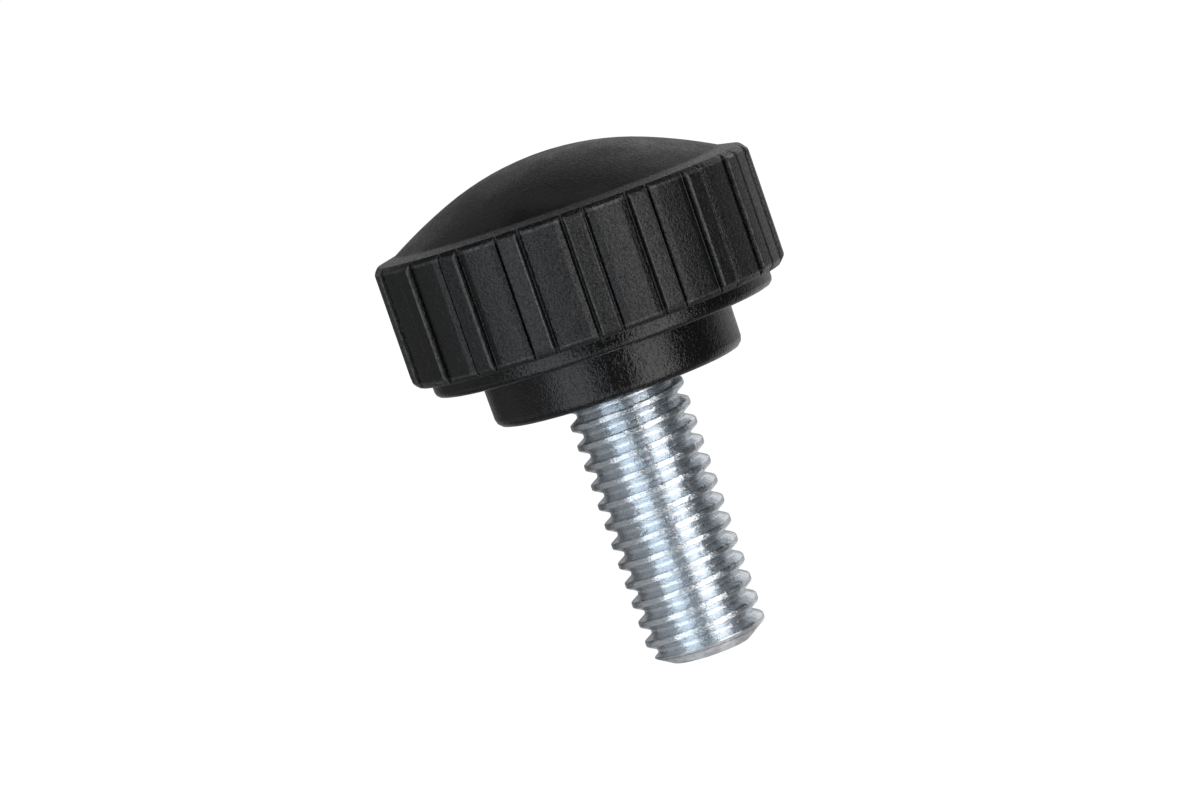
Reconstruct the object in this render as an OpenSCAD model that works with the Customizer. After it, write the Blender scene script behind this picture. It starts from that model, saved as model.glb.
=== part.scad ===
// Thumb knob with a ribbed rim, a domed crown and a moulded-in threaded stud.
// Origin: centre of the hub's seat face. +Z runs up the knob's axis, the stud points down.

/* [Rim] */
// Diameter over the rim's narrow ribs
rim_d = 18.9; // [18:0.1:24]
// Height of the rim
rim_h = 6.05; // [5:0.05:8]
// Chamfer on the rim's upper and lower edges
rim_chamfer = 0.33; // [0.2:0.01:0.45]
// Fall of the sloping ledge from the crown to the rim's edge
ledge_fall = 0.2; // [0.05:0.05:0.5]

/* [Grip ribs] */
// Number of narrow ribs, with one wide pad between each two
rib_count = 18; // [12:1:24]
// Width of a narrow rib
rib_w = 0.9; // [0.5:0.05:1.1]
// Width of the groove on each side of a rib
groove_w = 0.22; // [0.15:0.01:0.3]
// Depth of the groove below the rib's top
groove_depth = 0.35; // [0.2:0.01:0.45]
// How far a pad's face lies below the ribs
pad_drop = 0.11; // [0.05:0.01:0.15]
// How far a pad's edges lie below the ribs
pad_edge_drop = 0.2; // [0.15:0.01:0.3]
// Width of the bevel on each side of a pad
pad_bevel_w = 0.31; // [0.1:0.01:0.4]

/* [Crown] */
// Diameter of the domed crown at its foot
crown_d = 16.4; // [14:0.1:16.6]
// Radius of the crown's middle
crown_r = 13.8; // [12.5:0.1:20]
// Radius of the crown's flatter shoulder
shoulder_r = 25; // [20:1:60]
// Distance from the axis at which the shoulder starts
shoulder_start = 5; // [3:0.1:6]

/* [Flange and hub] */
// Diameter of the flange under the rim
flange_d = 17.05; // [15:0.05:17.1]
// Height of the flange
flange_h = 0.78; // [0.5:0.01:2]
// Rounding of the flange's lower edge
flange_edge_r = 0.4; // [0.1:0.05:0.45]
// Diameter of the hub at its seat
hub_d = 12.45; // [12:0.05:14]
// Height of the hub
hub_h = 2.35; // [1.5:0.05:5]
// Rounding of the hub's lower edge
hub_edge_r = 0.48; // [0.1:0.01:0.9]
// Mould draft of the hub's side, in degrees
hub_draft = 0.8; // [0:0.1:2]

/* [Threaded stud] */
// Major diameter of the thread
thread_d = 5.86; // [5.7:0.01:5.98]
// Pitch of the thread
thread_pitch = 1; // [0.75:0.05:1]
// Length of the stud below the hub's seat
stud_reach = 13.45; // [8:0.05:20]
// Diameter of the flat at the stud's end
tip_d = 3.9; // [2.8:0.1:4]
// Angle of the tip's chamfer from the end face, in degrees
tip_angle = 32; // [20:1:45]
// Diameter of the plain shank inside the head, a little under the thread's root
shank_d = 4.7; // [4:0.05:4.7]

/* [Moulded-in anchor] */
// Width across the flats of the anchor's hexagon
anchor_af = 10; // [9:0.1:10]
// Thickness of the anchor
anchor_h = 4; // [2:0.1:4]
// Height of the anchor's underside above the hub's seat
anchor_z = 3.6; // [2:0.1:4]
// Gap between the stud's buried end and the plastic
mould_gap = 0; // [0:0.01:0.05]

/* [Hidden] */
rim_r = rim_d / 2;
flange_z = hub_h;
rim_z = flange_z + flange_h;
rim_top = rim_z + rim_h;
ledge_r = rim_r - rim_chamfer;
floor_r = rim_r - groove_depth;
flange_r = flange_d / 2;
hub_r = hub_d / 2;

// Crown: a middle arc that runs on smoothly into a flatter shoulder arc.
crown_foot_r = crown_d / 2;
crown_foot_z = rim_top + ledge_fall;
shoulder_tilt = asin(shoulder_start / crown_r);
shoulder_x = shoulder_start - shoulder_r * sin(shoulder_tilt);
foot_tilt = asin((crown_foot_r - shoulder_x) / shoulder_r);
shoulder_zc = crown_foot_z - shoulder_r * cos(foot_tilt);
crown_zc = shoulder_zc + (shoulder_r - crown_r) * cos(shoulder_tilt);

// Thread: 60 degree flanks, the broad crest of a rolled and plated thread, a blunt root.
thread_r = thread_d / 2;
flank_angle = 30;
crest_w = 0.29 * thread_pitch;
thread_depth = 0.43 * thread_pitch;
root_round = 0.03 * thread_pitch;
cut_out = 0.06;
mouth_half = (thread_pitch - crest_w) / 2 + cut_out * tan(flank_angle);
root_half = (thread_pitch - crest_w) / 2 - thread_depth * tan(flank_angle);
turn_steps = 24;
ring_shift = 0.55; // keeps the rings off the blank's own seam
thread_phase = 0.827 * thread_pitch;
thread_turns = ceil(stud_reach / thread_pitch) + 2;
tip_r = tip_d / 2;
tip_h = (thread_r - tip_r) * tan(tip_angle);

arc_steps = 10;
join = 0.01;

function deg(arc_length, r) = arc_length / r * 180 / PI;
function polar(r, a) = [r * sin(a), -r * cos(a)];
function fillet(cx, cz, r, from, to) =
    [for (i = [0:arc_steps]) let (a = from + (to - from) * i / arc_steps)
        [cx + r * cos(a), cz + r * sin(a)]];
function arc_up(cx, cz, r, from, to) =
    [for (i = [0:arc_steps]) let (a = from + (to - from) * i / arc_steps)
        [cx + r * sin(a), cz + r * cos(a)]];

// One period of the grip seen from above: rib, groove, bevelled pad, groove.
rib_half = deg(rib_w, rim_r) / 2;
groove_a = deg(groove_w, rim_r);
wall_a = groove_a / 4;
period_a = 360 / rib_count;
pad_half = period_a / 2 - rib_half - groove_a;
face_half = pad_half - deg(pad_bevel_w, rim_r);
function grip_period(a) = let (pad_a = a + period_a / 2) concat(
    [for (s = [-1, 0, 1]) polar(rim_r, a + s * rib_half)],
    [for (s = [wall_a, groove_a - wall_a]) polar(floor_r, a + rib_half + s)],
    [polar(rim_r - pad_edge_drop, pad_a - pad_half)],
    [for (s = [-1, 0, 1]) polar(rim_r - pad_drop, pad_a + s * face_half)],
    [polar(rim_r - pad_edge_drop, pad_a + pad_half)],
    [for (s = [wall_a, groove_a - wall_a]) polar(floor_r, pad_a + pad_half + s)]);

module grip() {
    linear_extrude(rim_h + ledge_fall)
        polygon([for (k = [0:rib_count - 1]) each grip_period(k * period_a)]);
}

module rim_blank() {
    rotate_extrude($fn = 96)
        polygon([
            [0, 0], [ledge_r, 0], [rim_r + join, rim_chamfer + join],
            [rim_r + join, rim_h - rim_chamfer - join], [ledge_r, rim_h],
            [crown_foot_r, rim_h + ledge_fall], [0, rim_h + ledge_fall]]);
}

module ribbed_rim() {
    translate([0, 0, rim_z]) intersection() {
        grip();
        rim_blank();
    }
}

module crown() {
    rotate_extrude($fn = 96)
        polygon(concat(
            [[0, rim_top - rim_h / 2], [crown_foot_r, rim_top - rim_h / 2]],
            arc_up(shoulder_x, shoulder_zc, shoulder_r, foot_tilt, shoulder_tilt),
            arc_up(0, crown_zc, crown_r, shoulder_tilt, 0)));
}

module flange_and_hub() {
    hub_top_r = hub_r + hub_h * tan(hub_draft);
    rotate_extrude($fn = 96)
        polygon(concat(
            [[0, 0]],
            fillet(hub_r - hub_edge_r, hub_edge_r, hub_edge_r, -90, 0),
            [[hub_top_r, flange_z]],
            fillet(flange_r - flange_edge_r, flange_z + flange_edge_r, flange_edge_r, -90, 0),
            [[flange_r, rim_z], [flange_r, rim_z + join], [0, rim_z + join]]));
}

module anchor(gap = 0) {
    translate([0, 0, anchor_z - gap])
        cylinder(d = (anchor_af + 2 * gap) / cos(30), h = anchor_h + 2 * gap, $fn = 6);
}

module knob_head() {
    color([0.12, 0.12, 0.13]) difference() {
        union() {
            flange_and_hub();
            ribbed_rim();
            crown();
        }
        translate([0, 0, -1]) cylinder(d = shank_d + 2 * mould_gap, h = anchor_z + 2, $fn = 64);
        anchor(mould_gap);
    }
}

module stud_blank() {
    rotate_extrude($fn = 64)
        polygon([
            [0, -stud_reach], [tip_r, -stud_reach], [thread_r, tip_h - stud_reach],
            [thread_r, 0], [shank_d / 2, 0], [shank_d / 2, anchor_z + join], [0, anchor_z + join]]);
}

// The groove is one ring of section points swept down the helix.
function groove_section(z, a) = [for (p = [
        [thread_r + cut_out, mouth_half], [thread_r - thread_depth, root_half],
        [thread_r - thread_depth - root_round, 0],
        [thread_r - thread_depth, -root_half], [thread_r + cut_out, -mouth_half]])
    [p[0] * cos(a), p[0] * sin(a), z + p[1]]];

module thread_groove() {
    rings = thread_turns * turn_steps;
    n = 5;
    points = [for (i = [0:rings]) let (turn = (i + ring_shift) / turn_steps)
        each groove_section((turn - thread_turns) * thread_pitch + thread_phase, turn * 360)];
    skin = [for (i = [0:rings - 1], j = [0:n - 1]) let (k = (j + 1) % n, a = i * n, b = a + n)
        each [[a + j, b + k, b + j], [a + j, a + k, b + k]]];
    polyhedron(points, concat(
        skin, [[for (j = [n - 1:-1:0]) j]], [[for (j = [0:n - 1]) rings * n + j]]));
}

module threaded_stud() {
    color([0.72, 0.76, 0.8]) union() {
        difference() {
            stud_blank();
            intersection() {
                thread_groove();
                translate([0, 0, -stud_reach - 3])
                    cylinder(r = thread_r + 1, h = stud_reach + 3, $fn = 48);
            }
        }
        anchor();
    }
}

knob_head();
threaded_stud();
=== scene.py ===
import bpy
import bmesh
import math
from mathutils import Matrix, Vector


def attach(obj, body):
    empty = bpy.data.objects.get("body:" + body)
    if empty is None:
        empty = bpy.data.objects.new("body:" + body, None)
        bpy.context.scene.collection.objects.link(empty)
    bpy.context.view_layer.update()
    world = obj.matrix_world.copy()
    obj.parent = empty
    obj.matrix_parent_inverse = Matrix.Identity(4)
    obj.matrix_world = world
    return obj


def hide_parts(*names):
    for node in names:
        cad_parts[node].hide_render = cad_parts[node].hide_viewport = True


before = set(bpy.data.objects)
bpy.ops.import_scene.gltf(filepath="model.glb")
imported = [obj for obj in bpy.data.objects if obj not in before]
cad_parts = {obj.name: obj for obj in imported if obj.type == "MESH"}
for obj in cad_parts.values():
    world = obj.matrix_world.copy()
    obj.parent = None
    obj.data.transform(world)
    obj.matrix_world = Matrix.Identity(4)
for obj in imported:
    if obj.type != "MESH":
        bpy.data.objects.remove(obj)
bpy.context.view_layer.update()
print("frame loaded")

mm = 0.001
weld = 0.0001  # in mm, joins the seams

def linkMesh(name, points, faces):
    mesh = bpy.data.meshes.new(name)
    mesh.from_pydata(points, [], faces)
    mesh.update()
    obj = bpy.data.objects.new(name, mesh)
    bpy.context.scene.collection.objects.link(obj)
    return obj


def roundedPath(corners, steps=4, hold=0.04):
    # each corner is (x, y, radius); hold rows beside a rounding keep the flats flat
    out = [Vector(corners[0][:2])]
    for before, here, after in zip(corners, corners[1:], corners[2:]):
        spot = Vector(here[:2])
        a, b = Vector(before[:2]) - spot, Vector(after[:2]) - spot
        roomA, roomB = a.length, b.length
        a.normalize()
        b.normalize()
        turn = math.pi - a.angle(b)
        reach = min(here[2] * math.tan(turn / 2), 0.4 * roomA, 0.4 * roomB)
        radius = reach / math.tan(turn / 2)
        centre = spot + (a + b).normalized() * radius / math.cos(turn / 2)
        first, last = spot + a * reach - centre, spot + b * reach - centre
        out.append(spot + a * (reach + min(hold, 0.2 * (roomA - reach))))
        for i in range(steps + 1):
            t = i / steps
            arm = first * math.sin((1 - t) * turn) + last * math.sin(t * turn)
            out.append(centre + arm / math.sin(turn))
        out.append(spot + b * (reach + min(hold, 0.2 * (roomB - reach))))
    out.append(Vector(corners[-1][:2]))
    return out


# head: sizes in mm
head = {
    "ribs": 18, "ribR": 9.45, "ribW": 0.9, "grooveW": 0.22, "grooveDepth": 0.35,
    "padDrop": 0.11, "padEdgeDrop": 0.2, "padFace": 0.68,
    "rimZ": 3.13, "rimTop": 9.18, "chamfer": 0.33, "ledgeFall": 0.2,
    "crownFootR": 8.2, "crownR": 13.8, "shoulderR": 25, "shoulderStart": 5,
    "flangeR": 8.525, "flangeZ": 2.35, "flangeEdge": 0.4,
    "hubR": 6.225, "hubEdge": 0.48, "hubDraft": 0.8,
    "holeR": 2.35, "anchorZ": 3.6, "anchorH": 4.0, "anchorAf": 10.0,
    "domeRows": 8, "shoulderRows": 8,
}


def gripColumns():
    # half a period from a rib's middle to a pad's middle, then mirrored
    r = head["ribR"]
    floorR = r - head["grooveDepth"]
    ribEnd = head["ribW"] / 2
    padStart = ribEnd + head["grooveW"]
    padEnd = math.pi * r / head["ribs"]
    wall = head["grooveW"] / 4
    bevel = padEnd - (padEnd - padStart) * head["padFace"]
    half = roundedPath([
        (0, r), (ribEnd, r, 0.09), (ribEnd + wall, floorR, 0.05), (padStart - wall, floorR, 0.05),
        (padStart, r - head["padEdgeDrop"], 0.1), (bevel, r - head["padDrop"], 0.22),
        (padEnd, r - head["padDrop"] + 0.01)], 3, 0.03)
    right = [(p.x / r, p.y) for p in half]
    left = [(-a, g) for a, g in reversed(right[1:])]
    return left + right


def crownRows():
    start, foot = head["shoulderStart"], head["crownFootR"]
    tilt = math.asin(start / head["crownR"])
    cx = start - head["shoulderR"] * math.sin(tilt)
    footTilt = math.asin((foot - cx) / head["shoulderR"])
    footZ = head["rimTop"] + head["ledgeFall"]
    shoulderZ = footZ - head["shoulderR"] * math.cos(footTilt)
    crownZ = shoulderZ + (head["shoulderR"] - head["crownR"]) * math.cos(tilt)
    rows = []
    for i in range(head["domeRows"] + 1):
        a = tilt * i / head["domeRows"]
        rows.append((head["crownR"] * math.sin(a), crownZ + head["crownR"] * math.cos(a)))
    for i in range(1, head["shoulderRows"]):
        a = tilt + (footTilt - tilt) * i / head["shoulderRows"]
        rows.append((cx + head["shoulderR"] * math.sin(a), shoulderZ + head["shoulderR"] * math.cos(a)))
    return rows


def headProfile(gripR):
    # one slice of the head, from the crown's top down to the stud's hole
    crown = crownRows()
    ledge = min(head["ribR"] - head["chamfer"], gripR - 0.01)
    edge = gripR - ledge
    hubTop = head["hubR"] + head["flangeZ"] * math.tan(math.radians(head["hubDraft"]))
    ledgeZ = head["rimTop"]
    corners = [
        crown[-1],
        (head["crownFootR"], ledgeZ + head["ledgeFall"], 0.12),
        (ledge, ledgeZ, 0.1),
        (gripR, ledgeZ - edge, 0.3),
        (gripR, head["rimZ"] + edge, 0.3),
        (ledge, head["rimZ"], 0.1),
        (head["flangeR"], head["rimZ"], 0.06),
        (head["flangeR"], head["flangeZ"], head["flangeEdge"]),
        (hubTop, head["flangeZ"], 0.12),
        (head["hubR"], 0, head["hubEdge"]),
        (head["holeR"], 0, 0.02),
        (head["holeR"], head["anchorZ"]),
    ]
    return crown[:-1] + [tuple(p) for p in roundedPath(corners, 3)]


def around(angle, r, z):
    return (r * math.sin(angle), -r * math.cos(angle), z)


def hexR(angle, flats):
    # the hexagon has corners on the X axis
    return flats / 2 / math.cos((math.degrees(angle) - 90) % 60 * math.pi / 180 - math.pi / 6)


def sectorMesh(name, columns):
    points, faces = [], []
    slices = [headProfile(g) for a, g in columns]
    n = len(slices[0])
    for (a, g), rows in zip(columns, slices):
        points += [around(a, r, z) for r, z in rows]
    for i in range(len(columns) - 1):
        for j in range(n - 1):
            k = i * n + j
            faces.append((k, k + 1, k + n + 1, k + n))
    return linkMesh(name, points, faces)


def anchorMesh(name, angles, ringR, inward):
    # the hexagon in the plastic, from the shank's ring to the hexagon's top
    low, high = head["anchorZ"], head["anchorZ"] + head["anchorH"]
    flats = head["anchorAf"]
    points, faces = [], []
    n = len(angles)
    for a in angles:
        h = hexR(a, flats)
        points += [around(a, ringR, low), around(a, h, low), around(a, h, high), (0, 0, high)]
    for i in range(n):
        k, m = 4 * i, 4 * ((i + 1) % n)
        for j in range(3):
            quad = (k + j, m + j, m + j + 1, k + j + 1)
            faces.append(quad[::-1] if inward else quad)
    return linkMesh(name, points, faces)


# small helpers for node trees

def wire(tree, value, socket):
    if hasattr(value, "is_output"):
        tree.links.new(value, socket)
    else:
        socket.default_value = value


def calc(tree, operation, a, b=0.0, c=0.0, clamp=False):
    node = tree.nodes.new("ShaderNodeMath")
    node.operation = operation
    node.use_clamp = clamp
    for value, socket in zip((a, b, c), node.inputs):
        wire(tree, value, socket)
    return node.outputs[0]


def oneMinus(tree, value, clamp=False):
    return calc(tree, "SUBTRACT", 1.0, value, clamp=clamp)


def addInputs(tree, wanted):
    # wanted holds (name, socket kind, value)
    ids = {}
    for name, kind, value in wanted:
        socket = tree.interface.new_socket(name, in_out="INPUT", socket_type=kind)
        if value is not None:
            socket.default_value = value
        ids[name] = socket.identifier
    return ids


def convert(obj, tree, values, ids):
    # runs the tree once and keeps its plain mesh
    modifier = obj.modifiers.new("build", "NODES")
    for name, value in values.items():
        modifier[ids[name]] = value
    modifier.node_group = tree
    for name, value in values.items():
        modifier[ids[name]] = value
    obj.update_tag()
    graph = bpy.context.evaluated_depsgraph_get()
    mesh = bpy.data.meshes.new_from_object(obj.evaluated_get(graph))
    obj.modifiers.clear()
    old = obj.data
    obj.data = mesh
    bpy.data.meshes.remove(old)
    return obj


def weldParts(name, parts, material):
    # joins the parts into one closed piece in metres
    made = bmesh.new()
    for part in parts:
        made.from_mesh(part.data)
    bmesh.ops.remove_doubles(made, verts=made.verts, dist=weld)
    bmesh.ops.dissolve_degenerate(made, edges=made.edges, dist=weld)
    bmesh.ops.recalc_face_normals(made, faces=made.faces)
    openEdges = sum(1 for e in made.edges if len(e.link_faces) != 2)
    bmesh.ops.scale(made, vec=(mm, mm, mm), verts=made.verts)
    for face in made.faces:
        face.smooth = True
        face.material_index = 0
    mesh = bpy.data.meshes.new(name)
    made.to_mesh(mesh)
    made.free()
    mesh.materials.append(material)
    obj = bpy.data.objects.new(name, mesh)
    bpy.context.scene.collection.objects.link(obj)
    for part in parts:
        bpy.data.objects.remove(part)
    print(name, "faces", len(mesh.polygons), "open edges", openEdges)
    return obj


def repeatTree():
    tree = bpy.data.node_groups.new("repeatAround", "GeometryNodeTree")
    ids = addInputs(tree, [
        ("Sector", "NodeSocketGeometry", None), ("Count", "NodeSocketInt", 18),
        ("Weld", "NodeSocketFloat", weld), ("Material", "NodeSocketMaterial", None)])
    tree.interface.new_socket("Geometry", in_out="OUTPUT", socket_type="NodeSocketGeometry")
    put, link = tree.nodes.new, tree.links.new
    given, result = put("NodeGroupInput"), put("NodeGroupOutput")
    spots = put("GeometryNodePoints")
    link(given.outputs["Count"], spots.inputs["Count"])
    step = calc(tree, "DIVIDE", math.tau, given.outputs["Count"])
    angle = calc(tree, "MULTIPLY", put("GeometryNodeInputIndex").outputs[0], step)
    turn = put("ShaderNodeCombineXYZ")
    link(angle, turn.inputs["Z"])
    place = put("GeometryNodeInstanceOnPoints")
    link(spots.outputs[0], place.inputs["Points"])
    link(given.outputs["Sector"], place.inputs["Instance"])
    link(turn.outputs[0], place.inputs["Rotation"])
    real = put("GeometryNodeRealizeInstances")
    link(place.outputs[0], real.inputs[0])
    joined = put("GeometryNodeMergeByDistance")
    link(real.outputs[0], joined.inputs[0])
    link(given.outputs["Weld"], joined.inputs["Distance"])
    finish = put("GeometryNodeSetMaterial")
    link(joined.outputs[0], finish.inputs[0])
    link(given.outputs["Material"], finish.inputs["Material"])
    link(finish.outputs[0], result.inputs[0])
    return tree, ids


# stud: sizes in mm
stud = {
    "crestR": 2.93, "depth": 0.46, "pitch": 1.0, "crestHalf": 0.145, "phase": 0.673,
    "endZ": -13.45, "tipR": 1.95, "tipAngle": 32, "shankR": 2.35,
    "roundCrest": 0.14, "roundRoot": 0.12, "roundTip": 0.3,
    "columns": 120, "rowsPerTurn": 28, "faceRows": 10, "seatRows": 8,
}


def threadTree():
    tree = bpy.data.node_groups.new("rolledThread", "GeometryNodeTree")
    floats = ["Crest radius", "Depth", "Pitch", "Crest half", "Phase", "End height", "Tip radius",
              "Tip slope", "Shank radius", "Shank top", "Face room",
              "Crest rounding", "Root rounding", "Tip rounding"]
    ids = addInputs(tree, [("Base", "NodeSocketGeometry", None)]
                    + [(name, "NodeSocketFloat", 0.0) for name in floats]
                    + [("Columns", "NodeSocketInt", 120), ("Rows per turn", "NodeSocketInt", 28),
                       ("Rows over seat", "NodeSocketInt", 8), ("Material", "NodeSocketMaterial", None)])
    tree.interface.new_socket("Geometry", in_out="OUTPUT", socket_type="NodeSocketGeometry")
    put, link = tree.nodes.new, tree.links.new
    given, result = put("NodeGroupInput"), put("NodeGroupOutput")
    got = given.outputs

    rowH = calc(tree, "DIVIDE", got["Pitch"], got["Rows per turn"])
    halfRow = calc(tree, "MULTIPLY", rowH, 0.5001)  # a hair over a half, so that no row is missed
    low = calc(tree, "SUBTRACT", got["End height"], got["Pitch"])
    low = calc(tree, "SUBTRACT", low, got["Face room"])
    tall = calc(tree, "SUBTRACT", calc(tree, "MULTIPLY", rowH, got["Rows over seat"]), low)
    rows = calc(tree, "CEIL", calc(tree, "DIVIDE", tall, rowH))
    grid = put("GeometryNodeMeshGrid")
    link(calc(tree, "ADD", got["Columns"], 1.0), grid.inputs["Vertices X"])
    link(calc(tree, "ADD", rows, 1.0), grid.inputs["Vertices Y"])
    where = put("ShaderNodeSeparateXYZ")
    link(put("GeometryNodeInputPosition").outputs[0], where.inputs[0])
    turn = calc(tree, "ADD", where.outputs["X"], 0.5)
    row = calc(tree, "ROUND", calc(tree, "MULTIPLY", calc(tree, "ADD", where.outputs["Y"], 0.5), rows))
    rowZ = calc(tree, "MULTIPLY_ADD", row, rowH, low)
    z = calc(tree, "MULTIPLY_ADD", turn, got["Pitch"], rowZ)  # each row climbs one pitch in a turn

    # the thread's section, from the middle of a crest
    climb = calc(tree, "DIVIDE", rowZ, got["Pitch"])
    part = calc(tree, "FRACT", calc(tree, "ADD", climb, got["Phase"]))
    nearer = calc(tree, "MINIMUM", part, oneMinus(tree, part))
    away = calc(tree, "MULTIPLY", nearer, got["Pitch"])
    offCrest = calc(tree, "SUBTRACT", away, got["Crest half"])
    flank = calc(tree, "DIVIDE", offCrest, math.tan(math.radians(30)))
    cut = calc(tree, "SMOOTH_MAX", flank, 0.0, got["Crest rounding"])
    cut = calc(tree, "SMOOTH_MIN", cut, got["Depth"], got["Root rounding"])
    threadR = calc(tree, "SUBTRACT", got["Crest radius"], cut)

    # the turned tip and the end face
    aboveEnd = calc(tree, "SUBTRACT", z, got["End height"])
    nearEnd = calc(tree, "LESS_THAN", calc(tree, "ABSOLUTE", aboveEnd), halfRow)
    offEnd = oneMinus(tree, nearEnd)
    lift = calc(tree, "MULTIPLY", calc(tree, "MAXIMUM", aboveEnd, 0.0), offEnd)
    coneR = calc(tree, "MULTIPLY_ADD", lift, got["Tip slope"], got["Tip radius"])
    outerR = calc(tree, "SMOOTH_MIN", threadR, coneR, got["Tip rounding"])
    belowEnd = calc(tree, "MULTIPLY", aboveEnd, -1.0)
    inside = calc(tree, "MULTIPLY", calc(tree, "MAXIMUM", belowEnd, 0.0), offEnd)
    shrink = oneMinus(tree, calc(tree, "DIVIDE", inside, got["Face room"]), clamp=True)
    bodyR = calc(tree, "MULTIPLY", outerR, shrink)
    bodyZ = calc(tree, "ADD", got["End height"], lift)

    # above the seat the thread gives way to the plain shank
    nearSeat = calc(tree, "LESS_THAN", calc(tree, "ABSOLUTE", z), halfRow)
    above = calc(tree, "GREATER_THAN", z, halfRow)
    below = oneMinus(tree, above)
    overSeat = calc(tree, "SUBTRACT", z, calc(tree, "MULTIPLY", rowH, 1.5001))
    toTop = calc(tree, "MULTIPLY", calc(tree, "MAXIMUM", overSeat, 0.0), 1000.0)  # takes all later rows there
    shankZ = calc(tree, "MINIMUM", toTop, got["Shank top"])
    offSeat = oneMinus(tree, nearSeat)
    free = calc(tree, "MULTIPLY", calc(tree, "MULTIPLY", bodyZ, below), offSeat)
    lastZ = calc(tree, "MULTIPLY_ADD", shankZ, above, free)
    lastR = calc(tree, "MULTIPLY_ADD", got["Shank radius"], above, calc(tree, "MULTIPLY", bodyR, below))

    angle = calc(tree, "MULTIPLY", turn, math.tau)
    spot = put("ShaderNodeCombineXYZ")
    link(calc(tree, "MULTIPLY", lastR, calc(tree, "COSINE", angle)), spot.inputs["X"])
    link(calc(tree, "MULTIPLY", lastR, calc(tree, "SINE", angle)), spot.inputs["Y"])
    link(lastZ, spot.inputs["Z"])
    move = put("GeometryNodeSetPosition")
    link(grid.outputs["Mesh"], move.inputs["Geometry"])
    link(spot.outputs[0], move.inputs["Position"])
    real = put("GeometryNodeRealizeInstances")
    link(move.outputs[0], real.inputs[0])
    finish = put("GeometryNodeSetMaterial")
    link(real.outputs[0], finish.inputs[0])
    link(got["Material"], finish.inputs["Material"])
    link(finish.outputs[0], result.inputs[0])
    return tree, ids


# materials

def shaderGroup(name, inputs, outputs):
    group = bpy.data.node_groups.new(name, "ShaderNodeTree")
    for label, kind, value in inputs:
        socket = group.interface.new_socket(label, in_out="INPUT", socket_type=kind)
        if value is not None:
            socket.default_value = value
    for label, kind in outputs:
        group.interface.new_socket(label, in_out="OUTPUT", socket_type=kind)
    return group, group.nodes.new("NodeGroupInput"), group.nodes.new("NodeGroupOutput")


def noise(tree, vector, scale, detail=2.0, rough=0.5, distortion=0.0):
    node = tree.nodes.new("ShaderNodeTexNoise")
    tree.links.new(vector, node.inputs["Vector"])
    wire(tree, scale, node.inputs["Scale"])
    node.inputs["Detail"].default_value = detail
    node.inputs["Roughness"].default_value = rough
    node.inputs["Distortion"].default_value = distortion
    return node.outputs["Fac"]


def spread(tree, value, low, high, outLow=0.0, outHigh=1.0, kind="LINEAR"):
    node = tree.nodes.new("ShaderNodeMapRange")
    node.interpolation_type = kind
    for v, socket in zip((value, low, high, outLow, outHigh), node.inputs):
        wire(tree, v, socket)
    return node.outputs["Result"]


def mixColour(tree, factor, a, b):
    node = tree.nodes.new("ShaderNodeMix")
    node.data_type = "RGBA"
    wire(tree, factor, node.inputs[0])
    wire(tree, a, node.inputs[6])
    wire(tree, b, node.inputs[7])
    return node.outputs[2]


def mixValue(tree, factor, a, b):
    node = tree.nodes.new("ShaderNodeMix")
    wire(tree, factor, node.inputs[0])
    wire(tree, a, node.inputs[2])
    wire(tree, b, node.inputs[3])
    return node.outputs[0]


def bump(tree, height, relief):
    # relief is the full depth in mm
    node = tree.nodes.new("ShaderNodeBump")
    node.inputs["Strength"].default_value = 1.0
    node.inputs["Distance"].default_value = relief * mm
    tree.links.new(height, node.inputs["Height"])
    return node.outputs["Normal"]


def squeezed(tree, vector, scale):
    node = tree.nodes.new("ShaderNodeMapping")
    node.inputs["Scale"].default_value = scale
    tree.links.new(vector, node.inputs["Vector"])
    return node.outputs[0]


def objectPlace(tree):
    # object coordinates in mm, the distance from the axis and the height
    coords = tree.nodes.new("ShaderNodeTexCoord")
    grow = tree.nodes.new("ShaderNodeVectorMath")
    grow.operation = "SCALE"
    tree.links.new(coords.outputs["Object"], grow.inputs[0])
    grow.inputs["Scale"].default_value = 1 / mm
    parts = tree.nodes.new("ShaderNodeSeparateXYZ")
    tree.links.new(grow.outputs[0], parts.inputs[0])
    x, y, z = parts.outputs
    r = calc(tree, "SQRT", calc(tree, "ADD", calc(tree, "MULTIPLY", x, x), calc(tree, "MULTIPLY", y, y)))
    return grow.outputs[0], x, y, z, r


def newMaterial(name):
    material = bpy.data.materials.new(name)
    material.use_nodes = True
    tree = material.node_tree
    shader = next(n for n in tree.nodes if n.type == "BSDF_PRINCIPLED")
    return material, tree, shader


def makeGrain():
    # moulded or plated surface: a fine grain with creases, and the wear that follows it
    tree, given, result = shaderGroup("surfaceGrain", [
        ("Vector", "NodeSocketVector", None), ("Grain", "NodeSocketFloat", 7.0),
        ("Creases", "NodeSocketFloat", 0.5)], [("Height", "NodeSocketFloat"), ("Mask", "NodeSocketFloat")])
    fine = noise(tree, given.outputs["Vector"], given.outputs["Grain"], 2.0, 0.55)
    coarse = calc(tree, "MULTIPLY", given.outputs["Grain"], 0.55)
    wrinkled = noise(tree, given.outputs["Vector"], coarse, 1.5, 0.45, 0.9)
    ridge = calc(tree, "ABSOLUTE", calc(tree, "MULTIPLY_ADD", wrinkled, 2.0, -1.0))
    ridge = calc(tree, "MULTIPLY", calc(tree, "MINIMUM", ridge, 0.3), 3.0)
    height = calc(tree, "MULTIPLY_ADD", ridge, given.outputs["Creases"], fine)
    tree.links.new(height, result.inputs["Height"])
    tree.links.new(spread(tree, fine, 0.38, 0.62), result.inputs["Mask"])
    return tree


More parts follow.
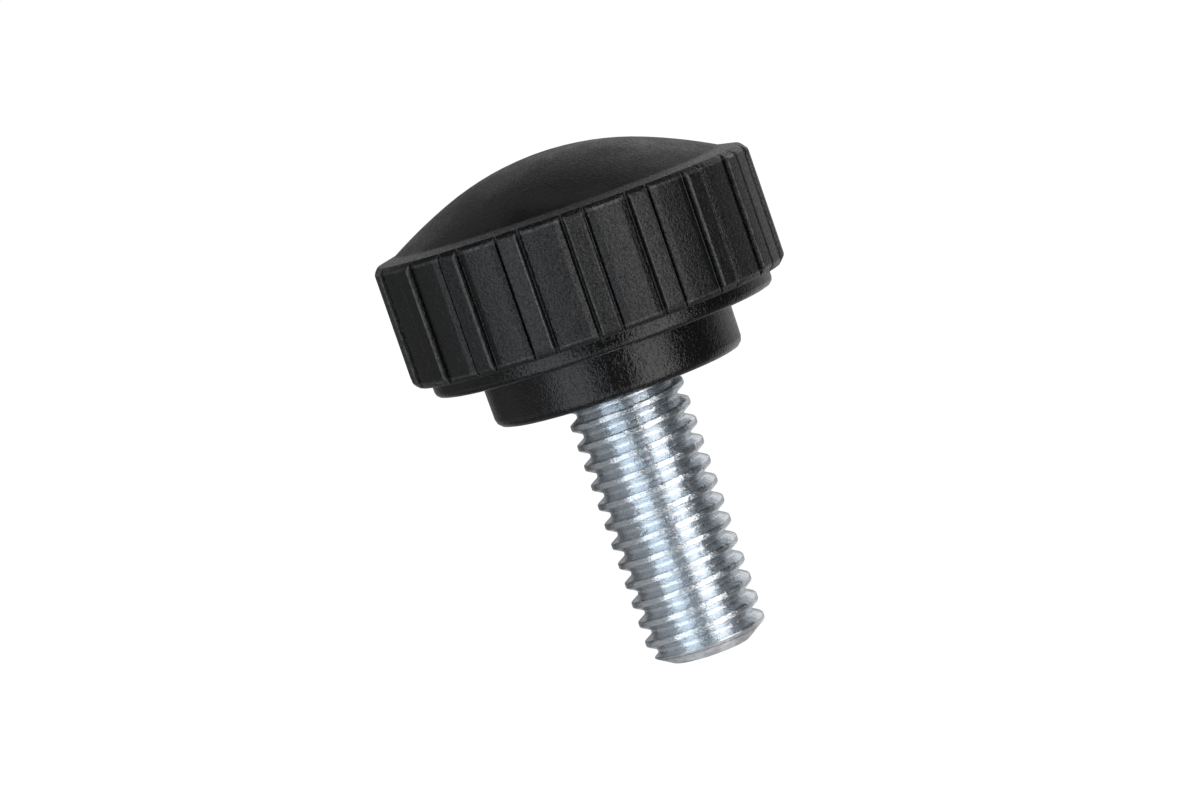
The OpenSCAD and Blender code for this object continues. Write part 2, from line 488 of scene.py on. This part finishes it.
def makeDust():
    # sparse pale specks and faint smears
    tree, given, result = shaderGroup("dustSpecks", [
        ("Vector", "NodeSocketVector", None), ("Scale", "NodeSocketFloat", 1.6),
        ("Amount", "NodeSocketFloat", 0.05)], [("Mask", "NodeSocketFloat")])
    cells = tree.nodes.new("ShaderNodeTexVoronoi")
    tree.links.new(given.outputs["Vector"], cells.inputs["Vector"])
    tree.links.new(given.outputs["Scale"], cells.inputs["Scale"])
    dots = spread(tree, cells.outputs["Distance"], given.outputs["Amount"], 0.0)
    smear = spread(tree, noise(tree, given.outputs["Vector"], 0.9, 4.0, 0.6), 0.55, 0.75, 0.0, 0.35)
    tree.links.new(calc(tree, "MAXIMUM", dots, smear), result.inputs["Mask"])
    return tree


def makeEdgeWearAndPaintedLight():
    # line along an edge, broken up by noise, carrying painted highlight and painted shadow lines into colour
    # and rubbed wear into roughness and bump; Distance is measured from the edge
    tree, given, result = shaderGroup("edgeWearAndPaintedLight", [
        ("Vector", "NodeSocketVector", None), ("Distance", "NodeSocketFloat", 1.0),
        ("Width", "NodeSocketFloat", 0.06)], [("Mask", "NodeSocketFloat")])
    line = spread(tree, given.outputs["Distance"], given.outputs["Width"], 0.0)
    broken = spread(tree, noise(tree, given.outputs["Vector"], 5.0, 3.0, 0.6), 0.35, 0.6, 0.25, 1.0)
    tree.links.new(calc(tree, "MULTIPLY", line, broken), result.inputs["Mask"])
    return tree


def useGroup(tree, group, **values):
    node = tree.nodes.new("ShaderNodeGroup")
    node.node_tree = group
    for name, value in values.items():
        wire(tree, value, node.inputs[name])
    return node.outputs


surfaceGrain, dustSpecks, edgeWearAndPaintedLight = makeGrain(), makeDust(), makeEdgeWearAndPaintedLight()


# black plastic: lengths in mm
plastic = {
    "hubGrain": 8.0, "hubCreases": 0.5, "rimGrain": 8.5, "rimCreases": 0.3,
    "dark": (0.0022, 0.0022, 0.0025, 1), "pale": (0.0045, 0.0045, 0.005, 1),
    "crownDark": (0.0022, 0.0021, 0.0021, 1), "crownPale": (0.015, 0.0135, 0.0128, 1),
    "edgeHighlightTone": (0.13, 0.13, 0.135, 1), "edgeHighlightShare": 0.65, "cornerLine": 0.07, "lipLine": 0.09,
    "dustTone": (0.12, 0.115, 0.11, 1), "dustShare": 0.06,
    "hubRough": (0.11, 0.2), "rimRough": (0.26, 0.42), "crownRough": (0.02, 0.2),
    "relief": 0.034, "hubRelief": 0.42, "crownSmoother": 0.35, "wornSmoother": 0.7, "wornShine": 0.5,
}


def rubbedEdgesAndPaintedHighlights(tree, place, x, y, z, r):
    # painted highlight lines on the ribs' corners and on the rim's top and foot edges; the material also
    # makes these lines glossier and smoother
    period = math.tau / head["ribs"]
    turned = calc(tree, "DIVIDE", calc(tree, "ARCTAN2", x, calc(tree, "MULTIPLY", y, -1.0)), period)
    offRib = calc(tree, "ABSOLUTE", calc(tree, "SUBTRACT", turned, calc(tree, "ROUND", turned)))
    arc = calc(tree, "MULTIPLY", offRib, period * head["ribR"])  # along the rim from a rib's middle
    sides = calc(tree, "ABSOLUTE", calc(tree, "SUBTRACT", arc, head["ribW"] / 2 - 0.03))
    corners = useGroup(tree, edgeWearAndPaintedLight, Vector=place, Distance=sides, Width=plastic["cornerLine"])
    outer = calc(tree, "GREATER_THAN", r, head["ribR"] - head["padEdgeDrop"] + 0.02)

    fromMiddle = calc(tree, "ABSOLUTE", calc(tree, "SUBTRACT", z, (head["rimZ"] + head["rimTop"]) / 2))
    lipAt = (head["rimTop"] - head["rimZ"]) / 2 - head["chamfer"] * 0.8
    ends = calc(tree, "ABSOLUTE", calc(tree, "SUBTRACT", fromMiddle, lipAt))
    lips = useGroup(tree, edgeWearAndPaintedLight, Vector=place, Distance=ends, Width=plastic["lipLine"])
    raised = calc(tree, "GREATER_THAN", r, head["ribR"] - head["grooveDepth"])
    lipMask = calc(tree, "MULTIPLY", calc(tree, "MULTIPLY", lips["Mask"], raised), 0.7)
    return calc(tree, "MAXIMUM", calc(tree, "MULTIPLY", corners["Mask"], outer), lipMask)


def plasticMaterial():
    material, tree, shader = newMaterial("blackPlastic")
    place, x, y, z, r = objectPlace(tree)
    overHub = spread(tree, z, head["rimZ"] - 0.02, head["rimZ"] + 0.02)
    onCrown = calc(tree, "MULTIPLY", spread(tree, z, head["rimTop"], head["rimTop"] + 0.2),
                   spread(tree, r, head["crownFootR"] + 0.1, head["crownFootR"] - 0.1))
    leather = useGroup(tree, surfaceGrain, Vector=place, Grain=plastic["hubGrain"],
                       Creases=plastic["hubCreases"])
    rimGrain = useGroup(tree, surfaceGrain, Vector=place, Grain=plastic["rimGrain"],
                        Creases=plastic["rimCreases"])
    dust = useGroup(tree, dustSpecks, Vector=place, Scale=1.5, Amount=0.05)
    wornAndPaintedHighlight = rubbedEdgesAndPaintedHighlights(tree, place, x, y, z, r)
    cloud = noise(tree, place, 0.35, 3.0, 0.55)

    crownTone = mixColour(tree, spread(tree, cloud, 0.38, 0.62), plastic["crownDark"], plastic["crownPale"])
    tone = mixColour(tree, cloud, plastic["dark"], plastic["pale"])
    tone = mixColour(tree, onCrown, tone, crownTone)
    # painted highlight: pale lines on the rib corners and rim edges stand in for their highlights
    tone = mixColour(tree, calc(tree, "MULTIPLY", wornAndPaintedHighlight, plastic["edgeHighlightShare"]), tone, plastic["edgeHighlightTone"])
    dusty = calc(tree, "MULTIPLY", dust["Mask"], plastic["dustShare"])
    tree.links.new(mixColour(tree, dusty, tone, plastic["dustTone"]), shader.inputs["Base Color"])

    glossy = spread(tree, leather["Mask"], 0.0, 1.0, *plastic["hubRough"])
    matt = spread(tree, rimGrain["Mask"], 0.0, 1.0, *plastic["rimRough"])
    crownRough = spread(tree, cloud, 0.35, 0.65, *plastic["crownRough"])
    rough = calc(tree, "MULTIPLY_ADD", onCrown, crownRough, mixValue(tree, overHub, glossy, matt))
    shine = oneMinus(tree, calc(tree, "MULTIPLY", wornAndPaintedHighlight, plastic["wornShine"]))
    tree.links.new(calc(tree, "MULTIPLY", rough, shine), shader.inputs["Roughness"])

    share = spread(tree, overHub, 0.0, 1.0, plastic["hubRelief"], 1.0)
    share = calc(tree, "SUBTRACT", share, calc(tree, "MULTIPLY", onCrown, plastic["crownSmoother"]))
    rubbed = oneMinus(tree, calc(tree, "MULTIPLY", wornAndPaintedHighlight, plastic["wornSmoother"]))
    share = calc(tree, "MULTIPLY", share, rubbed)
    height = mixValue(tree, overHub, leather["Height"], rimGrain["Height"])
    height = calc(tree, "MULTIPLY", height, share)
    tree.links.new(bump(tree, height, plastic["relief"]), shader.inputs["Normal"])
    return material


# bright zinc plate: lengths in mm
zinc = {
    "lineSqueeze": (0.35, 0.35, 6.0), "lineScale": 2.6,
    "waveSqueeze": (1.0, 1.0, 2.4), "waveScale": 2.4, "waveHeight": 1.6,
    "blue": (0.70, 0.76, 0.82, 1), "pale": (0.82, 0.86, 0.90, 1),
    "lineTone": (0.48, 0.53, 0.60, 1), "crestHighlightTone": (0.97, 0.97, 0.98, 1), "crestLine": 0.05,
    "dustTone": (0.36, 0.38, 0.42, 1), "dustShare": 0.35,
    "turnedDark": (0.66, 0.67, 0.70, 1), "turnedPale": (0.88, 0.88, 0.89, 1),
    "tipShadowTone": (0.12, 0.12, 0.14, 1), "tipShadowLine": 0.07, "tipShadowDrop": 0.12,
    "rough": (0.22, 0.36), "crestShine": 0.3, "turnedRougher": 0.2,
    "relief": 0.026, "turnedSmoother": 0.75, "spreadAround": 0.75,
}


def crestEdge(tree, x, y, z):
    # how far a point lies from the lower edge of the nearest crest
    turn = calc(tree, "DIVIDE", calc(tree, "ARCTAN2", y, x), math.tau)
    climb = calc(tree, "SUBTRACT", calc(tree, "DIVIDE", z, stud["pitch"]), turn)
    climb = calc(tree, "ADD", climb, stud["phase"])
    part = calc(tree, "SUBTRACT", climb, calc(tree, "ROUND", climb))
    offCrest = calc(tree, "MULTIPLY", part, stud["pitch"])
    return calc(tree, "ABSOLUTE", calc(tree, "ADD", offCrest, stud["crestHalf"] + 0.05))


def zincMaterial():
    material, tree, shader = newMaterial("zincPlate")
    place, x, y, z, r = objectPlace(tree)
    slope = math.tan(math.radians(stud["tipAngle"]))
    tipTop = stud["endZ"] + (stud["crestR"] - stud["tipR"]) * slope
    coneR = calc(tree, "MULTIPLY_ADD", calc(tree, "SUBTRACT", z, stud["endZ"]), 1 / slope, stud["tipR"])
    onTip = calc(tree, "MULTIPLY", spread(tree, calc(tree, "SUBTRACT", coneR, r), 0.12, 0.04),
                 spread(tree, z, tipTop + 0.1, tipTop))
    lines = noise(tree, squeezed(tree, place, zinc["lineSqueeze"]), zinc["lineScale"], 3.0, 0.6)
    waves = noise(tree, squeezed(tree, place, zinc["waveSqueeze"]), zinc["waveScale"], 2.0, 0.5)
    grain = useGroup(tree, surfaceGrain, Vector=place, Grain=9.0, Creases=0.2)
    dust = useGroup(tree, dustSpecks, Vector=place, Scale=2.2, Amount=0.06)
    crestPaintedHighlight = useGroup(tree, edgeWearAndPaintedLight, Vector=place, Distance=crestEdge(tree, x, y, z), Width=zinc["crestLine"])
    offTipShadow = calc(tree, "ABSOLUTE", calc(tree, "SUBTRACT", z, tipTop - zinc["tipShadowDrop"]))
    tipShadow = useGroup(tree, edgeWearAndPaintedLight, Vector=place, Distance=offTipShadow, Width=zinc["tipShadowLine"])

    tone = mixColour(tree, noise(tree, place, 0.6, 3.0, 0.6), zinc["blue"], zinc["pale"])
    tone = mixColour(tree, spread(tree, lines, 0.35, 0.5, 0.35, 0.0), tone, zinc["lineTone"])
    # painted highlight: a pale line along the lower edge of each crest stands in for its highlight
    tone = mixColour(tree, calc(tree, "MULTIPLY", crestPaintedHighlight["Mask"], 0.9), tone, zinc["crestHighlightTone"])
    tone = mixColour(tree, calc(tree, "MULTIPLY", dust["Mask"], zinc["dustShare"]), tone, zinc["dustTone"])
    turned = mixColour(tree, spread(tree, waves, 0.35, 0.6), zinc["turnedDark"], zinc["turnedPale"])
    # painted shadow: a broken dark line just below the top of the turned tip
    turned = mixColour(tree, calc(tree, "MULTIPLY", tipShadow["Mask"], 0.9), turned, zinc["tipShadowTone"])
    tree.links.new(mixColour(tree, onTip, tone, turned), shader.inputs["Base Color"])
    shader.inputs["Metallic"].default_value = 1.0
    shader.inputs["Anisotropic"].default_value = zinc["spreadAround"]  # rolled round the axis
    shader.inputs["Anisotropic Rotation"].default_value = 0.25

    mottle = calc(tree, "MULTIPLY_ADD", grain["Mask"], 0.4, lines)
    rough = spread(tree, mottle, 0.3, 1.0, *zinc["rough"])
    rough = calc(tree, "MULTIPLY", rough,
                 oneMinus(tree, calc(tree, "MULTIPLY", crestPaintedHighlight["Mask"], zinc["crestShine"])))
    rough = calc(tree, "MULTIPLY_ADD", onTip, zinc["turnedRougher"], rough)
    tree.links.new(rough, shader.inputs["Roughness"])

    height = calc(tree, "MULTIPLY_ADD", grain["Height"], 0.2, lines)
    height = calc(tree, "MULTIPLY_ADD", waves, zinc["waveHeight"], height)
    smoother = oneMinus(tree, calc(tree, "MULTIPLY", onTip, zinc["turnedSmoother"]))
    height = calc(tree, "MULTIPLY", height, smoother)
    tree.links.new(bump(tree, height, zinc["relief"]), shader.inputs["Normal"])
    return material


blackPlastic = plasticMaterial()
zincPlate = zincMaterial()
print("materials made")

# head: one 20 degree sector turned round the axis
columns = gripColumns()
sector = sectorMesh("headSector", columns)
tree, ids = repeatTree()
convert(sector, tree, {"Count": head["ribs"], "Weld": weld, "Material": blackPlastic}, ids)
step = math.tau / head["ribs"]
allAngles = [a + k * step for k in range(head["ribs"]) for a, g in columns[:-1]]
cavity = anchorMesh("headCavity", allAngles, head["holeR"], True)
knobHead = weldParts("knobHeadSkin", [sector, cavity], blackPlastic)
print("head built")

# stud: a grid sheared along the helix and pushed out to the thread's section
base = linkMesh("threadBase", [(0, 0, 0)], [])
tree, ids = threadTree()
convert(base, tree, {
    "Crest radius": stud["crestR"], "Depth": stud["depth"], "Pitch": stud["pitch"],
    "Crest half": stud["crestHalf"], "Phase": stud["phase"], "End height": stud["endZ"],
    "Tip radius": stud["tipR"], "Tip slope": 1 / math.tan(math.radians(stud["tipAngle"])),
    "Shank radius": stud["shankR"], "Shank top": head["anchorZ"],
    "Face room": stud["faceRows"] * stud["pitch"] / stud["rowsPerTurn"],
    "Crest rounding": stud["roundCrest"], "Root rounding": stud["roundRoot"],
    "Tip rounding": stud["roundTip"], "Rows over seat": stud["seatRows"],
    "Columns": stud["columns"], "Rows per turn": stud["rowsPerTurn"], "Material": zincPlate}, ids)
ring = [math.pi / 2 + math.tau * i / stud["columns"] for i in range(stud["columns"])]
anchor = anchorMesh("studAnchor", ring, stud["shankR"], False)
threadedStud = weldParts("threadedStudSkin", [base, anchor], zincPlate)
print("stud built")

skins = [(knobHead, "knob_head", "black_plastic"), (threadedStud, "threaded_stud", "plated_steel")]
for skin, node, slotName in skins:
    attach(skin, "root")
    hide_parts(node)

# floor: reaches in mm from the axis
studio = {
    "floorHalf": 3.0, "shadowReach": (30.0, 160.0), "shadowDepth": 0.07,
    "floorGrey": 0.3, "floorGreyAside": 0.15, "sheen": 0.8, "sheenRough": 0.2,
    "underReach": (8.0, 26.0), "underGlow": 0.12,
    "rearLevel": 0.85, "sideLevel": 0.4, "skyLevel": 0.04, "lampDistance": 0.35,
}


def grey(level):
    return (level, level, level, 1)


def addShaders(tree, a, b):
    node = tree.nodes.new("ShaderNodeAddShader")
    tree.links.new(a, node.inputs[0])
    tree.links.new(b, node.inputs[1])
    return node.outputs[0]


def floorMaterial():
    # white to the camera, a plain glazed table top to the piece
    material = bpy.data.materials.new("floorWhite")
    material.use_nodes = True
    tree = material.node_tree
    tree.nodes.clear()
    r = objectPlace(tree)[-1]
    path = tree.nodes.new("ShaderNodeLightPath")
    seen = path.outputs["Is Camera Ray"]
    dull = tree.nodes.new("ShaderNodeBsdfDiffuse")
    dullTone = mixColour(tree, seen, grey(studio["floorGreyAside"]), grey(studio["floorGrey"]))
    tree.links.new(dullTone, dull.inputs["Color"])
    sheen = tree.nodes.new("ShaderNodeBsdfGlossy")
    sheen.inputs["Roughness"].default_value = studio["sheenRough"]
    tree.links.new(mixColour(tree, seen, grey(studio["sheen"]), grey(0)), sheen.inputs["Color"])
    glow = tree.nodes.new("ShaderNodeEmission")
    glow.inputs["Color"].default_value = grey(1)
    near = spread(tree, r, *studio["shadowReach"], 1.0, 0.0, "SMOOTHSTEP")
    level = oneMinus(tree, calc(tree, "MULTIPLY", near, studio["shadowDepth"]))
    under = spread(tree, r, *studio["underReach"], studio["underGlow"], 0.0, "SMOOTHSTEP")
    shine = calc(tree, "MULTIPLY", path.outputs["Is Glossy Ray"], under)  # painted glow: the floor near the axis glows faintly, seen only in reflections
    tree.links.new(calc(tree, "MULTIPLY_ADD", seen, level, shine), glow.inputs["Strength"])
    out = tree.nodes.new("ShaderNodeOutputMaterial")
    surface = addShaders(tree, addShaders(tree, dull.outputs[0], sheen.outputs[0]), glow.outputs[0])
    tree.links.new(surface, out.inputs["Surface"])
    return material


floorZ = stud["endZ"] * mm
half = studio["floorHalf"]
corners = [(-half, -half, floorZ), (half, -half, floorZ), (half, half, floorZ), (-half, half, floorZ)]
floor = linkMesh("floor", corners, [(0, 1, 2, 3)])
floor.data.materials.append(floorMaterial())


def studioWorld():
    # white to the camera; to the piece a pale wall behind, a dim one at the left and a dark room
    world = bpy.data.worlds.new("studio")
    world.use_nodes = True
    tree = world.node_tree
    tree.nodes.clear()
    coords = tree.nodes.new("ShaderNodeTexCoord")
    parts = tree.nodes.new("ShaderNodeSeparateXYZ")
    tree.links.new(coords.outputs["Generated"], parts.inputs[0])
    across, away, high = parts.outputs
    behind = spread(tree, calc(tree, "MULTIPLY_ADD", across, 0.4, away), 0.55, 0.85, 0.0, 1.0, "SMOOTHSTEP")
    behind = calc(tree, "MULTIPLY", behind, spread(tree, across, -0.3, 0.4, 0.38, 1.1))
    leftSide = spread(tree, across, -0.6, -0.9, 0.0, studio["sideLevel"], "SMOOTHSTEP")
    fade = spread(tree, high, 0.35, 0.75, 1.0, 0.15, "SMOOTHSTEP")
    dip = spread(tree, high, 0.1, 0.3, 0.35, 1.0, "SMOOTHSTEP")  # dimmer right at the table's edge
    walls = calc(tree, "MULTIPLY", calc(tree, "MULTIPLY_ADD", behind, studio["rearLevel"], leftSide), dip)
    room = tree.nodes.new("ShaderNodeBackground")
    room.inputs["Color"].default_value = grey(1)
    tree.links.new(calc(tree, "MULTIPLY_ADD", walls, fade, studio["skyLevel"]), room.inputs["Strength"])
    white = tree.nodes.new("ShaderNodeBackground")
    white.inputs["Color"].default_value = grey(1)
    path = tree.nodes.new("ShaderNodeLightPath")
    share = tree.nodes.new("ShaderNodeMixShader")
    tree.links.new(path.outputs["Is Camera Ray"], share.inputs[0])
    tree.links.new(room.outputs[0], share.inputs[1])
    tree.links.new(white.outputs[0], share.inputs[2])
    out = tree.nodes.new("ShaderNodeOutputWorld")
    tree.links.new(share.outputs[0], out.inputs["Surface"])
    return world


def outward(azimuth, elevation):
    # unit vector from the piece; azimuths count from the front towards the right, in degrees
    a, e = math.radians(azimuth), math.radians(elevation)
    return Vector((math.sin(a) * math.cos(e), -math.cos(a) * math.cos(e), math.sin(e)))


def softbox(name, azimuth, elevation, spanWide, spanTall, level, tint):
    # spans in degrees as the piece sees them, level is the face's own brightness
    distance = studio["lampDistance"]
    away = outward(azimuth, elevation)
    data = bpy.data.lights.new(name, "AREA")
    data.shape = "RECTANGLE"
    data.size = 2 * distance * math.tan(math.radians(spanWide / 2))
    data.size_y = 2 * distance * math.tan(math.radians(spanTall / 2))
    data.energy = level * math.pi * data.size * data.size_y
    data.color = tint
    obj = bpy.data.objects.new(name, data)
    obj.location = away * distance
    obj.rotation_mode = "QUATERNION"
    obj.rotation_quaternion = away.to_track_quat("Z", "Y")
    bpy.context.scene.collection.objects.link(obj)


bpy.context.scene.world = studioWorld()
softbox("keyRight", 32, 26, 36, 52, 2.7, (1.0, 0.99, 0.98))
softbox("fillLeft", -41, 26, 40, 52, 1.85, (0.88, 0.95, 1.0))
print("studio lit")

# camera: angles in degrees, distance in mm, shifts in pixels of the full render
view = {
    "azimuth": -2.5, "elevation": 5.2, "roll": 19.1, "distance": 220.0,
    "pxPerMm": 20.89, "pxWide": 1200, "offX": 20.74, "offY": 13.94, "sensor": 36.0,
}
azimuth, roll = math.radians(view["azimuth"]), math.radians(view["roll"])
back = outward(view["azimuth"], view["elevation"])
flat = Vector((math.cos(azimuth), math.sin(azimuth), 0))
upright = back.cross(flat)
right = flat * math.cos(roll) - upright * math.sin(roll)
up = upright * math.cos(roll) + flat * math.sin(roll)
target = -(right * view["offX"] + up * view["offY"]) / view["pxPerMm"]
cameraData = bpy.data.cameras.new("camera")
camera = bpy.data.objects.new("camera", cameraData)
bpy.context.scene.collection.objects.link(camera)
spot = (target + back * view["distance"]) * mm
camera.matrix_world = Matrix.Translation(spot) @ Matrix((right, up, back)).transposed().to_4x4()
cameraData.sensor_width = view["sensor"]
cameraData.lens = view["sensor"] * view["pxPerMm"] * view["distance"] / view["pxWide"]
cameraData.clip_start = 0.01
cameraData.clip_end = 20
bpy.context.scene.camera = camera
bpy.context.scene.view_settings.view_transform = "Standard"
print("camera set")
